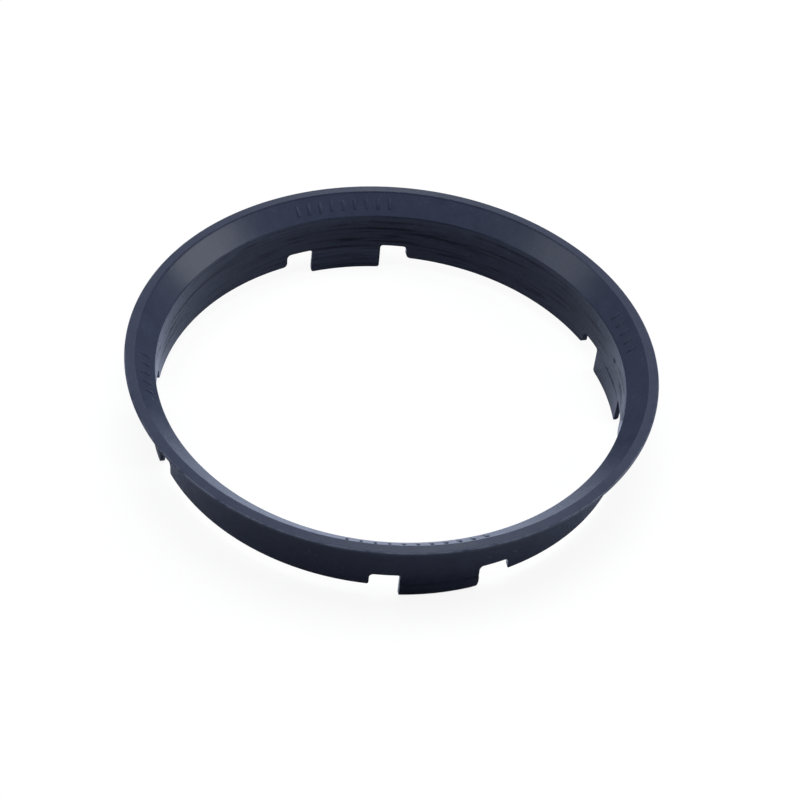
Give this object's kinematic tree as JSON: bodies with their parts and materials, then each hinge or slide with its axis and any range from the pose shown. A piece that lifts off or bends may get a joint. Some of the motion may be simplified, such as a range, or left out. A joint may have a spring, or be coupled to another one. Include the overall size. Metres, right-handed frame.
{
  "type": "hub centric ring",
  "caption": "Thin moulded plastic ring with a bevelled flange and snap tabs, pressed into a wheel's centre bore so that the wheel sits true on a smaller hub.",
  "frame": {"origin": "on the ring's axis, in the plane of the tab ends that it stands on", "axes": "+Z along the ring's axis towards the flange and its bevel; a snap tab lies on each of +X, -X, +Y and -Y"},
  "size_m": [0.0818, 0.0818, 0.0138],
  "materials": {
    "ring": "satin dark blue-black moulded plastic, lightly scuffed in the bore"
  },
  "bodies": {
    "root": {"ring": "ring"}
  },
  "joints": []
}
